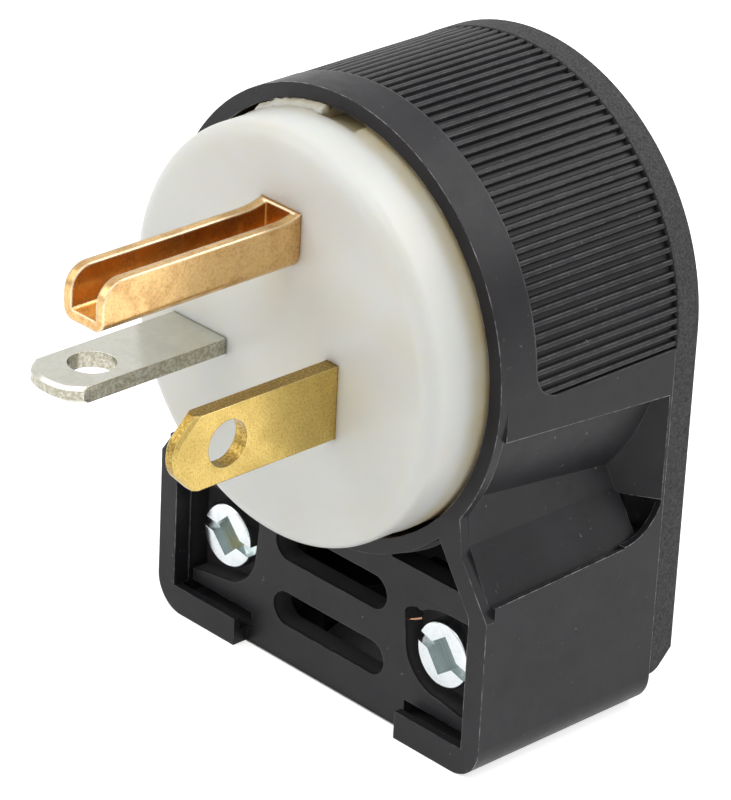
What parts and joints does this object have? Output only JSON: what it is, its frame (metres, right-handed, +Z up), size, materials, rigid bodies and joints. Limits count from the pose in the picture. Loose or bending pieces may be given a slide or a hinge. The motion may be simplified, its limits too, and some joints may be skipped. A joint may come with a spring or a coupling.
{
  "type": "angled power plug",
  "caption": "Right-angle power plug with a vertical blade, a horizontal blade and a channel ground pin, ribbed arch body, screwed rear cover and cord entry in the base.",
  "frame": {"origin": "centre of the cord opening, in the plane of the base", "axes": "+X to the right seen from the blades, +Y back from the blades to the cover, +Z up from the base"},
  "size_m": [0.039, 0.0489, 0.0535],
  "materials": {
    "housing_nylon": "moulded black nylon, fine satin grain",
    "cover_nylon": "moulded black nylon, dull grained face",
    "carrier_nylon": "moulded white nylon, slightly yellowed at the rim",
    "blade_brass": "plain brass, speckled and handled",
    "blade_nickel": "nickel plated brass, dulled",
    "ground_brass": "plain red brass, folded sheet",
    "screw_zinc": "bright zinc plated steel",
    "screw_green": "green plated steel",
    "saddle_nylon": "moulded black nylon"
  },
  "bodies": {
    "root": {"housing": "housing_nylon", "rear_cover": "cover_nylon", "contact_face": "carrier_nylon", "carrier_back": "carrier_nylon", "hot_blade": "blade_brass", "neutral_blade": "blade_nickel", "ground_pin": "ground_brass", "hot_clamp_plate": "blade_brass", "neutral_clamp_plate": "blade_nickel", "ground_clamp_plate": "ground_brass", "hot_terminal_screw": "blade_brass", "neutral_terminal_screw": "screw_zinc", "ground_terminal_screw": "screw_green", "cord_saddle": "saddle_nylon", "left_clamp_screw": "screw_zinc", "right_clamp_screw": "screw_zinc", "left_cover_insert": "blade_brass", "right_cover_insert": "blade_brass", "left_carrier_screw": "screw_zinc", "right_carrier_screw": "screw_zinc"}
  },
  "joints": []
}
